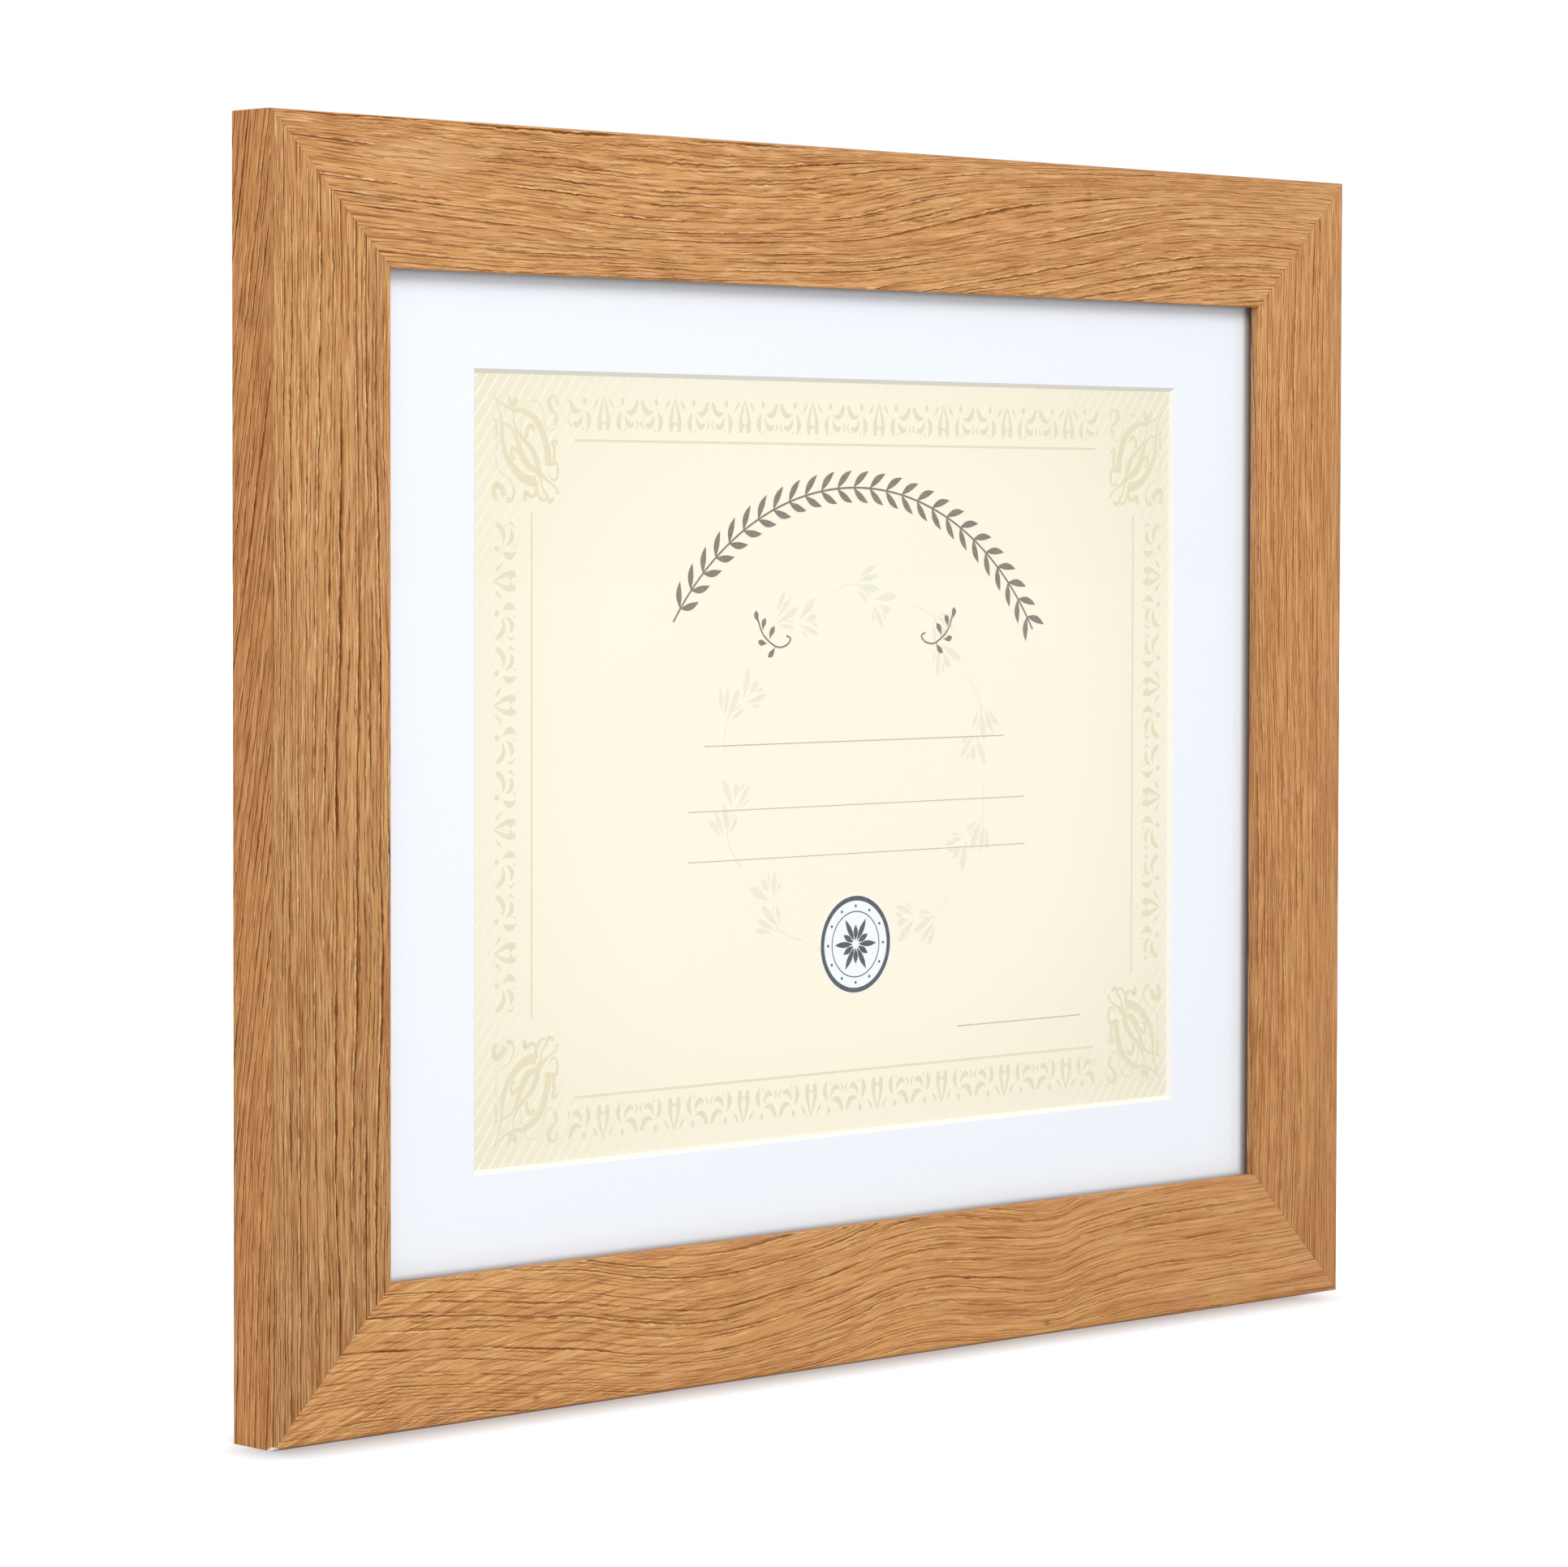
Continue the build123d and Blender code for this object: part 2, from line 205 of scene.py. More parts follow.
def oak_foil(side, turn, half, reach, slant, seed, lean, sways, vigour, gaps, tones, marks, crack="#6B3A10", chip=None):
    """Embossed oak foil on a fibreboard moulding: satin, honey brown, with dark broken pores along the year rings,
    a painted cream highlight on the outer side of each pore line, and short fibres between them, all laid out in
    millimetres."""
    # The export drops the link that the gloss gets below, and keeps the level set here.
    made, tree, shader = material(f"oak_foil_{side}", IOR=1.46, Specular_IOR_Level=foil_gloss)
    centre = Vector((0, front_y / mm, mid_z))
    spin = Matrix.Rotation(math.radians(-turn), 3, "Y")
    shift = -(spin @ centre) - Vector((0, 0, reach))
    there = add(tree, "TexCoord").outputs["Object"]
    place = add(tree, "Mapping", there, shift, (0, math.radians(-turn), 0), (1 / mm,) * 3)
    along, depth, up = add(tree, "SeparateXYZ", place).outputs
    out = add(tree, "Math MULTIPLY", up, -1)
    across = add(tree, "Math SUBTRACT", out, depth)
    share = add(tree, "Math MULTIPLY_ADD", along, 1 / span, 0.5)

    # The rings sway across the face, and lean on the outer edge.
    bent = across
    for points, low, high, amount in sways:
        curve = [(x / span + 0.5, y / sway_range + 0.5) for x, y in points]
        sway = add(tree, "FloatCurve", 1, share, points=curve)
        push = add(tree, "Math MULTIPLY_ADD", sway, amount * sway_range, -amount * sway_range / 2)
        zone = add(tree, "MapRange", across, low, high, 0, -1, interpolation_type="SMOOTHSTEP")
        bent = add(tree, "Math MULTIPLY_ADD", push, zone, bent)
    curve = [(x / span + 0.5, y / sway_range + 0.5) for x, y in lean]
    tilt = add(tree, "FloatCurve", 1, share, points=curve)
    tilt = add(tree, "Math MULTIPLY_ADD", tilt, sway_range, -sway_range / 2)
    edge = add(tree, "MapRange", depth, 0.1, 0.5, 0, -1)
    bent = add(tree, "Math MULTIPLY_ADD", tilt, edge, bent)
    grain = add(tree, "CombineXYZ", along, bent, seed)

    # Three sizes of wander: the ring's own slow wave, its wobble, and the ragged edge of the pores. The wander dies
    # out at the mitres, where the rings of two rails meet.
    mitre = add(tree, "Math SUBTRACT", add(tree, "Math SUBTRACT", half, add(tree, "Math ABSOLUTE", along)), out)
    calm = add(tree, "MapRange", mitre, 0, calm_w, 0.1, 1, interpolation_type="SMOOTHSTEP")
    for long, high, amount in ((90, 16, 3.6), (14, 3, 0.9), (2.4, 1.0, 0.6)):
        size = (1 / long, 1 / high, 1)
        wave = add(tree, "TexNoise", add(tree, "VectorMath MULTIPLY", grain, size), Scale=1, Detail=1)
        wave = add(tree, "Math SUBTRACT", wave, 0.5)
        wave = add(tree, "Math MULTIPLY", wave, calm)
        bent = add(tree, "Math MULTIPLY_ADD", wave, amount, bent)
    low, high = ring_curve[0][0], ring_curve[-1][0]
    least, most = ring_curve[0][1], ring_curve[-1][1]
    within = add(tree, "MapRange", bent, low, high)
    counts = [((x - low) / (high - low), (y - least) / (most - least)) for x, y in ring_curve]
    rings = add(tree, "FloatCurve", 1, within, points=counts)
    rings = add(tree, "Math MULTIPLY_ADD", rings, most - least, least)
    # Good years and lean years: the gap between rings changes across the board, alike on every rail.
    years = add(tree, "CombineXYZ", 0.5, add(tree, "Math MULTIPLY", bent, 1 / year_w), 0.5)
    years = add(tree, "TexNoise", years, Scale=1)
    rings = add(tree, "Math MULTIPLY_ADD", add(tree, "Math SUBTRACT", years, 0.5), 1.5, rings)

    # Pore lines: a fine dark crack on each ring, of changing width, broken here and there.
    near = add(tree, "Math MULTIPLY", add(tree, "Math PINGPONG", rings, 0.5), 3.0)
    track = add(tree, "CombineXYZ", along, rings, seed)
    pulse = add(tree, "TexNoise", add(tree, "VectorMath MULTIPLY", track, (1 / 7, 0.9, 1)), Scale=1, Detail=3)
    wide = add(tree, "MapRange", pulse, 0.36, 0.66, 0.17, 0.42)
    lines = add(tree, "MapRange", near, wide, 0.06, interpolation_type="SMOOTHSTEP")
    whole = add(tree, "TexNoise", add(tree, "VectorMath MULTIPLY", track, (1 / 40, 1.1, 2.3)), Scale=1, Detail=2)
    whole = add(tree, "MapRange", whole, 0.33 + gaps, 0.52 + gaps)
    lines = add(tree, "Math MULTIPLY", lines, whole)
    # Finer cracks run between the rings, thinner and more often broken.
    minor = add(tree, "Math MULTIPLY_ADD", rings, 2.7, 0.35)
    near_minor = add(tree, "Math MULTIPLY", add(tree, "Math PINGPONG", minor, 0.5), 1.1)
    minor_track = add(tree, "CombineXYZ", along, minor, seed + 5)
    rare = add(tree, "TexNoise", add(tree, "VectorMath MULTIPLY", minor_track, (1 / 13, 0.8, 1)), Scale=1, Detail=2)
    rare = add(tree, "MapRange", rare, 0.42, 0.54)
    minors = add(tree, "Math MULTIPLY", add(tree, "MapRange", near_minor, 0.24, 0), rare)
    # The embossed lip of each crack catches the light on its outer side: there a cream highlight is painted.
    lip_highlight = add(tree, "Math PINGPONG", add(tree, "Math ADD", rings, 0.14), 0.5)
    lip_highlight = add(tree, "MapRange", add(tree, "Math MULTIPLY", lip_highlight, 3.0), 0.26, 0.02)
    glint = add(tree, "TexNoise", add(tree, "VectorMath MULTIPLY", track, (1 / 5, 0.7, 3.1)), Scale=1, Detail=2)
    glint = add(tree, "MapRange", glint, 0.43, 0.57)
    lip_highlight = add(tree, "Math MULTIPLY", add(tree, "Math MULTIPLY", lip_highlight, glint), whole)

    # Fibres: short streaks a third of a millimetre wide that keep closer to the rail's length than the rings do.
    level = add(tree, "Math ADD", add(tree, "Math MULTIPLY", across, 0.45), add(tree, "Math MULTIPLY", bent, 0.55))
    # Towards the end of the rail where slant isn't 0, the fibres tilt more and more.
    tip = add(tree, "Math POWER", add(tree, "Math MAXIMUM", along, 0), 2)
    level = add(tree, "Math MULTIPLY_ADD", tip, slant / 400, level)
    curl = add(tree, "TexNoise", add(tree, "VectorMath MULTIPLY", grain, (1 / 30, 1 / 9, 6)), Scale=1, Detail=1)
    level = add(tree, "Math MULTIPLY_ADD", add(tree, "Math SUBTRACT", curl, 0.5), 3.0, level)
    thread = add(tree, "CombineXYZ", along, level, seed + 9)
    fibre = add(tree, "TexNoise", add(tree, "VectorMath MULTIPLY", thread, (1 / 14, 1 / 0.27, 1)), Scale=1, Detail=3)
    fleck = add(tree, "TexNoise", add(tree, "VectorMath MULTIPLY", thread, (1 / 11, 1 / 0.25, 2)), Scale=1, Detail=3)

    # Colour, from the broad tone down to the cracks.
    patch = add(tree, "TexNoise", add(tree, "VectorMath MULTIPLY", grain, (1 / 80, 1 / 12, 1)), Scale=1, Detail=2)
    patch = add(tree, "MapRange", patch, 0.35, 0.65)
    shade = add(tree, "MixRGB", patch, colour("#CB9155"), colour("#DBA264"))
    blush = add(tree, "TexNoise", add(tree, "VectorMath MULTIPLY", grain, (1 / 45, 1 / 9, 4)), Scale=1, Detail=2)
    blush = add(tree, "MapRange", blush, 0.5, 0.75, 0, 0.7)
    shade = add(tree, "MixRGB", blush, shade, colour("#D0925E"))
    streak = add(tree, "TexNoise", add(tree, "VectorMath MULTIPLY", thread, (1 / 45, 1 / 1.5, 3)), Scale=1, Detail=2)
    shade = add(tree, "MixRGB", add(tree, "MapRange", streak, 0.48, 0.36, 0, 0.55), shade, colour("#B0703A"))
    shade = add(tree, "MixRGB", add(tree, "MapRange", streak, 0.54, 0.66, 0, 0.5), shade, colour("#E6B273"))
    quiet = 1.0
    for mark_along, mark_out, long, high, amount in marks:
        off = add(tree, "Math SUBTRACT", along, mark_along)
        off = add(tree, "CombineXYZ", off, add(tree, "Math SUBTRACT", out, mark_out))
        off = add(tree, "VectorMath LENGTH", add(tree, "VectorMath DIVIDE", off, (long, high, 1))).outputs["Value"]
        off = add(tree, "MapRange", off, 1.1, 0.5, 0, abs(amount), interpolation_type="SMOOTHSTEP")
        shade = add(tree, "MixRGB", off, shade, colour("#8A5128" if amount > 0 else "#E9B880"))
        if amount < 0:
            quiet = add(tree, "Math MULTIPLY", quiet, add(tree, "Math MULTIPLY_ADD", off, 0.9 / amount, 1))
    # The finer the mark, the faster it fades where the grain is weak.
    force = add(tree, "MapRange", share, 0, 1, *vigour)
    soft = add(tree, "Math POWER", force, 1.5)
    faint = add(tree, "Math MULTIPLY", soft, 0.75)
    shade = add(tree, "MixRGB", add(tree, "MapRange", fibre, 0.48, 0.38, 0, faint), shade, colour("#A3652F"))
    shade = add(tree, "MixRGB", add(tree, "MapRange", fleck, 0.54, 0.64, 0, faint), shade, colour("#F4C28A"))
    shown = add(tree, "Math MULTIPLY", quiet, add(tree, "MapRange", fibre, 0.40, 0.60, 1.0, 0.75))
    minors = add(tree, "Math MULTIPLY", minors, shown)
    lines = add(tree, "Math MULTIPLY", lines, shown)
    seen = add(tree, "Math MULTIPLY", minors, add(tree, "Math MULTIPLY", force, 0.9))
    shade = add(tree, "MixRGB", seen, shade, colour("#7C4518"))
    # Painted highlight: cream along each crack's outer lip.
    shade = add(tree, "MixRGB", add(tree, "Math MULTIPLY", lip_highlight, faint), shade, colour("#FBCF98"))
    shade = add(tree, "MixRGB", add(tree, "Math MULTIPLY", lines, force), shade, colour(crack))
    # Painted shade: the foil is a little darker on some rails and towards one end of some, warmer on the outer edge and
    # duller on the lip's inner wall.
    flank = add(tree, "MapRange", depth, 0.3, 0.9)
    wall = add(tree, "Math GREATER_THAN", out, face_w - 0.1)
    tone = add(tree, "MixRGB", share, *[colour(t) for t in tones])
    tone = add(tree, "MixRGB", flank, tone, add(tree, "MixRGB", wall, colour("#FFEFDB"), colour("#E6E3EA")))
    shade = add(tree, "MixRGB MULTIPLY", 1, shade, tone)

    # Fibreboard, in 1.1 mm specks, shows behind the lip, inside the foil's lap on the back, and as a chip at one
    # sharp corner.
    speck = add(tree, "TexNoise", there, Scale=900, Detail=3)
    board = add(tree, "MixRGB", speck, colour("#C09B6E"), colour("#DDBE95"))
    back = add(tree, "Math GREATER_THAN", depth, rail_depth - 0.3)
    back = add(tree, "Math MULTIPLY", back, add(tree, "Math GREATER_THAN", out, foil_lap))
    rabbet = add(tree, "Math GREATER_THAN", depth, lip_t + 0.1)
    rabbet = add(tree, "Math MULTIPLY", rabbet, add(tree, "Math GREATER_THAN", out, rabbet_out))
    bare = add(tree, "Math MAXIMUM", back, rabbet)
    if chip:
        end = add(tree, "Math MULTIPLY_ADD", along, -chip[2] * chip[0], half * chip[0])
        torn = add(tree, "Math MULTIPLY_ADD", out, chip[1], end)
        torn = add(tree, "Math MULTIPLY_ADD", add(tree, "Math SUBTRACT", speck, 0.5), 2.5, torn)
        torn = add(tree, "MapRange", add(tree, "Math ADD", torn, depth), 3.6, 3.0)
        board = add(tree, "MixRGB", torn, board, colour("#F6EDE0"))
        bare = add(tree, "Math MAXIMUM", bare, torn)
    shade = add(tree, "MixRGB", bare, shade, board)
    # The mitre shows as a hairline where the foil was cut.
    seam = add(tree, "MapRange", add(tree, "Math ABSOLUTE", mitre), 0.22, 0, 0, 0.3)
    shade = add(tree, "MixRGB", seam, shade, colour("#7A4E28"))

    rough = add(tree, "MapRange", fibre, 0.3, 0.7, 0.58, 0.46)
    # A crack is too deep to mirror the room.
    gloss = add(tree, "MapRange", add(tree, "Math MAXIMUM", lines, minors), 0, 0.8, foil_gloss, 0.05)
    height = add(tree, "Math MULTIPLY_ADD", lines, -0.8, add(tree, "Math MULTIPLY", fibre, 0.5))
    height = add(tree, "Math MULTIPLY_ADD", minors, -0.5, height)
    height = add(tree, "Math MULTIPLY_ADD", fleck, 0.3, height)
    relief = add(tree, "Math MULTIPLY", soft, 0.8)
    bump = add(tree, "Bump", Strength=relief, Distance=pore_depth, Height=height)
    wire(tree, shader, Base_Color=shade, Roughness=rough, Specular_IOR_Level=gloss, Normal=bump)
    return made


for side, grain in rails.items():
    dress(f"rail_{side}", oak_foil(side, **grain))

# V-nails: folded strips of spring steel, pressed flush across each mitre from the back.
# Plain steel with a thin film of oil, darker than plating, with drawing marks of 0.25 by 2.5 mm.
made, tree, shader = material("oiled_steel", Metallic=1.0)
there = add(tree, "TexCoord").outputs["Object"]
drawn = add(tree, "TexNoise", add(tree, "VectorMath MULTIPLY", there, (4000, 400, 4000)), Scale=1, Detail=2)
shade = add(tree, "MixRGB", drawn, colour("#6F6E6B"), colour("#9A9994"))
rough = add(tree, "MapRange", drawn, 0.3, 0.7, 0.32, 0.5)
wire(tree, shader, Base_Color=shade, Roughness=rough)
dress("v_nails", made)

# Glass: a plain 2 mm float sheet with ground edges, that lies a hair clear of the lip and the mat.
# It is clear and mirrors a little. Lamps shine through it, so it is a see-through shader under a thin mirror that
# grows at grazing angles.
made, tree, shader = material("float_glass")
tree.nodes.remove(shader)
clear = add(tree, "BsdfTransparent", colour("#FFFFFF"))
mirror = add(tree, "BsdfGlossy", colour("#FFFFFF"), 0.02)
# What it mirrors seen square on, how much more at a grazing angle, and how fast that grows.
mirror_least, mirror_more, mirror_power = 0.012, 0.6, 5
grazing = add(tree, "Math POWER", add(tree, "LayerWeight", 0.5).outputs["Facing"], mirror_power)
mirrored = add(tree, "Math MULTIPLY_ADD", grazing, mirror_more, mirror_least)
both = add(tree, "MixShader", mirrored, clear, mirror)
tree.links.new(both.outputs[0], tree.nodes["Material Output"].inputs["Surface"])

low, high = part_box("glass")
glass_gap, ground_edge = 0.02 * mm, 0.25 * mm
signs = np.array([(-1, -1), (1, -1), (1, 1), (-1, 1)])
half = np.array([high.x - low.x, high.z - low.z]) / 2 - glass_gap
middle = np.array([high.x + low.x, high.z + low.z]) / 2
front, back = low.y + glass_gap, high.y - glass_gap
profile = np.array([(ground_edge, front), (0, front + ground_edge), (0, back - ground_edge), (ground_edge, back)])
# The pane is a profile, of a flat ground edge and its two small bevels, carried round the four corners.
flat = middle + signs[:, None] * (half - profile[None, :, :1])
points = np.stack([flat[..., 0], np.broadcast_to(profile[:, 1], (4, 4)), flat[..., 1]], -1).reshape(-1, 3)
i, j = np.meshgrid(np.arange(4), np.arange(3), indexing="ij")
n = (i + 1) % 4
walls = np.stack([4 * i + j, 4 * i + j + 1, 4 * n + j + 1, 4 * n + j], -1).reshape(-1, 4)
ends = np.array([[0, 4, 8, 12], [15, 11, 7, 3]])
mesh = bpy.data.meshes.new("glass_pane")
mesh.from_pydata(points, [], np.vstack([walls, ends]).tolist())
mesh.materials.append(made)
pane = bpy.data.objects.new("glass_pane", mesh)
bpy.context.scene.collection.objects.link(pane)
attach(pane, "frame")
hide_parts("glass")

# Mat: white board, cut with a bevelled window. The face paper is cool white with a faint tooth.
# The bevel and the edges show the creamy core. The face's grains are about 0.7 mm, 1400 to a metre.
made, tree, shader = material("mat_board", Roughness=0.85, Specular_IOR_Level=0.2)
there = add(tree, "TexCoord").outputs["Object"]
x, y, z = add(tree, "SeparateXYZ", there).outputs
mat_tooth, paper_film = 1400, 0.04 * mm
tooth = add(tree, "TexNoise", there, Scale=mat_tooth, Detail=3)
paper = add(tree, "MixRGB", tooth, colour("#F0F5FC"), colour("#F9FCFF"))
mat_front, mat_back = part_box("mat")[0].y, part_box("mat")[1].y
core = add(tree, "Math GREATER_THAN", y, mat_front + paper_film)
core = add(tree, "Math MULTIPLY", core, add(tree, "Math LESS_THAN", y, mat_back - paper_film))
# Painted shade: under the lip, where no light gets in, the margin of the board is painted grey. It comes a little
# further out at the sides.
shade_reach, shade_fade, shade_share = 0.9, 1.5 * mm, 0.72
beside = add(tree, "Math SUBTRACT", add(tree, "Math ABSOLUTE", x), (outer_w / 2 - face_w - shade_reach) * mm)
above = add(tree, "Math ABSOLUTE", add(tree, "Math SUBTRACT", z, mid_z * mm))
above = add(tree, "Math SUBTRACT", above, (mid_z - face_w) * mm)
under = add(tree, "Math MAXIMUM", beside, above)
under = add(tree, "MapRange", under, -shade_fade, shade_fade, 0, shade_share, interpolation_type="SMOOTHSTEP")
paper = add(tree, "MixRGB", under, paper, colour("#75645A"))
shade = add(tree, "MixRGB", core, paper, colour("#F6F2E9"))
bump = add(tree, "Bump", Strength=0.1, Distance=0.03 * mm, Height=tooth)
wire(tree, shader, Base_Color=shade, Normal=bump)
dress("mat", made)

# Certificate: a letter-size sheet of cream paper, a little darker to its corners.
# A printed ground of pale slanting hairlines fades out before it gets to the middle.
sheet_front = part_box("certificate")[0].y
made, tree, shader = material("printed_paper", Roughness=0.8, Specular_IOR_Level=0.25)
there = add(tree, "TexCoord").outputs["Object"]
place = add(tree, "Mapping", there, (0, 0, -mid_z), (0, 0, 0), (1 / mm,) * 3)
x, _, z = add(tree, "SeparateXYZ", place).outputs
# Rim is 1 on a rounded oblong of these half sides, 0 in the middle, and more in the corners.
rim_w, rim_h, rim_power = 150, 125, 2.6
wide = add(tree, "Math POWER", add(tree, "Math ABSOLUTE", add(tree, "Math DIVIDE", x, rim_w)), rim_power)
tall = add(tree, "Math POWER", add(tree, "Math ABSOLUTE", add(tree, "Math DIVIDE", z, rim_h)), rim_power)
rim = add(tree, "Math ADD", wide, tall)
paper = add(tree, "MixRGB", add(tree, "MapRange", rim, 0.3, 1.4), colour("#FFF8E2"), colour("#EEE8CD"))
hair_angle, hair_pitch, hair_core, hair_edge = math.radians(52.5), 3.1, 0.14, 0.34
rise = add(tree, "Math MULTIPLY", z, math.cos(hair_angle) / hair_pitch)
count = add(tree, "Math MULTIPLY_ADD", x, -math.sin(hair_angle) / hair_pitch, rise)
hair = add(tree, "Math MULTIPLY", add(tree, "Math PINGPONG", count, 0.5), hair_pitch)
hair = add(tree, "MapRange", hair, hair_edge, hair_core)
hair = add(tree, "Math MULTIPLY", hair, add(tree, "MapRange", rim, 0.3, 1.5))
shade = add(tree, "MixRGB", hair, paper, colour("#FFFBEB"))
wire(tree, shader, Base_Color=shade)
dress("certificate", made)

# Print: ink on the sheet, each shape a closed slab a few hundredths of a millimetre thick. Every shape is a ribbon: a
# path in the sheet's plane with a half width at each point. Slabs that may cross are a step apart in thickness, and
# the layers a full round of steps, so that no two faces lie in one plane.
ink_t, ink_step, ink_steps = 0.02 * mm, 0.0015 * mm, 24
ink_back = sheet_front + 0.01 * mm
thinnest = 0.02
leaf_points = 11


def smooth(points, count):
    """A path through given points: on each span a cubic whose end slopes are half the step between neighbours."""
    p = np.asarray(points, float)
    p = np.vstack([2 * p[0] - p[1], p, 2 * p[-1] - p[-2]])
    at = np.linspace(0, len(p) - 3, count)
    i = np.minimum(at.astype(int), len(p) - 4)
    t = (at - i)[:, None]
    a, b, c, d = p[i], p[i + 1], p[i + 2], p[i + 3]
    return b + 0.5 * t * ((c - a) + t * (2 * a - 5 * b + 4 * c - d + t * (3 * b - a - 3 * c + d)))


def ribbon(path, half_width):
    """The two edges of a band: each point of the path is moved both ways along its normal by the half width."""
    slope = np.gradient(path, axis=0)
    slope /= np.linalg.norm(slope, axis=1, keepdims=True)
    normal = slope[:, ::-1] * (-1, 1)
    half = np.maximum(half_width, thinnest) * np.ones(len(path))
    return np.stack([path + normal * half[:, None], path - normal * half[:, None]], axis=1)


def stroke(points, shares, widths, count=40):
    """A ribbon on a smooth path: its half width runs straight between the widths, which stand at shares of the way."""
    return ribbon(smooth(points, count), np.interp(np.linspace(0, 1, count), shares, widths))


def line(start, end, half_width):
    """A straight ribbon of even width."""
    return ribbon(smooth([start, end], 6), half_width)


def leaf(start, end, width, bend=0.0, blunt=0.0):
    """A leaf from start to end: the half width is a sine of the share of the way, pushed to the end by blunt,
    and the middle of the path is moved sideways by bend times the length."""
    start, end = np.asarray(start, float), np.asarray(end, float)
    t = np.linspace(0, 1, leaf_points)
    way = end - start
    side = np.array([-way[1], way[0]]) * bend
    path = start + way * t[:, None] + side * np.sin(np.pi * t)[:, None]
    return ribbon(path, width / 2 * np.sin(np.pi * t ** (1 + blunt)))


def dot(centre, wide, tall, count):
    """An ellipse: the half width at each point of its level axis is the ellipse's height there."""
    t = np.linspace(0, np.pi, count)
    path = np.asarray(centre, float) + np.stack([-wide / 2 * np.cos(t), 0 * t], 1)
    return ribbon(path, tall / 2 * np.sin(t))


def around(centre, radius, degrees):
    """The point, or points, on a circle: its centre plus the radius times the cosine and the sine of the angle."""
    a = np.radians(degrees)
    return np.asarray(centre, float) + radius * np.stack([np.cos(a), np.sin(a)], -1)


def ring(centre, radius, width, count=97):
    """A closed band of even width round a circle."""
    turns = np.linspace(0, 360, count)
    return np.stack([around(centre, radius - width / 2, turns), around(centre, radius + width / 2, turns)], axis=1)


def placed(ribbons, centre=(0, 0), turn=0.0, scale=(1, 1)):
    """The ribbons scaled, mirrored where a scale is negative, turned by degrees, and moved to centre."""
    a = math.radians(turn)
    move = np.array([[math.cos(a), -math.sin(a)], [math.sin(a), math.cos(a)]]) @ np.diag(scale)
    flip = -1 if np.linalg.det(move) < 0 else 1
    return [(r[:, ::flip] @ move.T) + np.asarray(centre, float) for r in ribbons]


def printed(name, ribbons, ink, layer=0):
    """One closed slab for each ribbon: its edges are copied to the ink's front and back, and four walls and two ends
    join them. The front slopes by half a step from one end to the other."""
    corners, faces, base = [], [], 0
    for k, r in enumerate(ribbons):
        ink_front = sheet_front - (ink_t + ink_step * (k % ink_steps + layer * ink_steps))
        n = len(r)
        four = r[:, [0, 1, 1, 0]] * mm
        ramp = np.linspace(0, ink_step / 2, n)[:, None] * [-1, -1, 0, 0]
        depth = ramp + [ink_front, ink_front, ink_back, ink_back]
        corners.append(np.stack([four[..., 0], depth, four[..., 1] + mid_z * mm], -1).reshape(-1, 3))
        i, c = np.meshgrid(np.arange(n - 1) * 4, np.arange(4), indexing="ij")
        d = (c + 1) % 4
        walls = np.stack([i + c, i + d, i + 4 + d, i + 4 + c], -1).reshape(-1, 4)
        ends = np.array([[3, 2, 1, 0], np.arange(4) + 4 * (n - 1)])
        faces.append(np.vstack([walls, ends]) + base)
        base += 4 * n
    mesh = bpy.data.meshes.new(name)
    mesh.from_pydata(np.vstack(corners), [], np.vstack(faces).tolist())
    mesh.materials.append(ink)
    piece = bpy.data.objects.new(name, mesh)
    bpy.context.scene.collection.objects.link(piece)
    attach(piece, "frame")


def ink_of(name, light, dark):
    """Offset ink on uncoated paper: matt, and a little uneven, in 1.1 mm patches, where the sheet took less of it."""
    made, tree, shader = material(name, Roughness=0.75)
    there = add(tree, "TexCoord").outputs["Object"]
    take = add(tree, "TexNoise", there, Scale=900, Detail=3)
    shade = add(tree, "MixRGB", add(tree, "MapRange", take, 0.3, 0.7), colour(light), colour(dark))
    wire(tree, shader, Base_Color=shade)
    return made


# Border: pale beige offset print, a common engraved ornament. A band of pointed arches, leaves and dots runs along each
# side between four scroll corners, with a thin rule inside it. A unit is half of the band's pattern and its mirror
# image, drawn from the arch's point down.
half_unit = [
    stroke([(0, 0), (-0.8, -2.4), (-1.5, -5.1), (-1.6, -6.9), (-1.4, -9.1)], [0, 0.35, 0.75, 1],
        [0.12, 0.45, 0.75, 0.6], 14),
    leaf((-0.1, -6.5), (-1.5, -8.0), 0.9),
    leaf((-1.9, -0.3), (-3.9, -3.2), 0.8),
    dot((-7.0, -1.1), 1.25, 2.0, 9),
    leaf((-6.5, -3.6), (-6.3, -9.5), 1.6, 0.17),
    stroke([(-8.0, -3.5), (-9.6, -4.1), (-11.2, -3.3), (-12.4, -0.8)], [0, 0.35, 0.6, 0.9, 1],
        [0.05, 0.7, 0.85, 0.6, 0.4], 12),
    stroke([(-7.8, -4.9), (-8.5, -6.7), (-9.7, -7.6), (-11.1, -7.1)], [0, 0.35, 0.65, 1], [0.08, 0.6, 0.9, 0.35], 12),
    stroke([(-12.0, -5.9), (-12.6, -7.2), (-11.6, -8.6)], [0, 0.375, 0.625, 1], [0.07, 0.28, 0.28, 0.07], 9),
    leaf((-7.8, -8.1), (-7.5, -9.4), 0.4),
]
unit = half_unit + placed(half_unit, scale=(-1, 1))
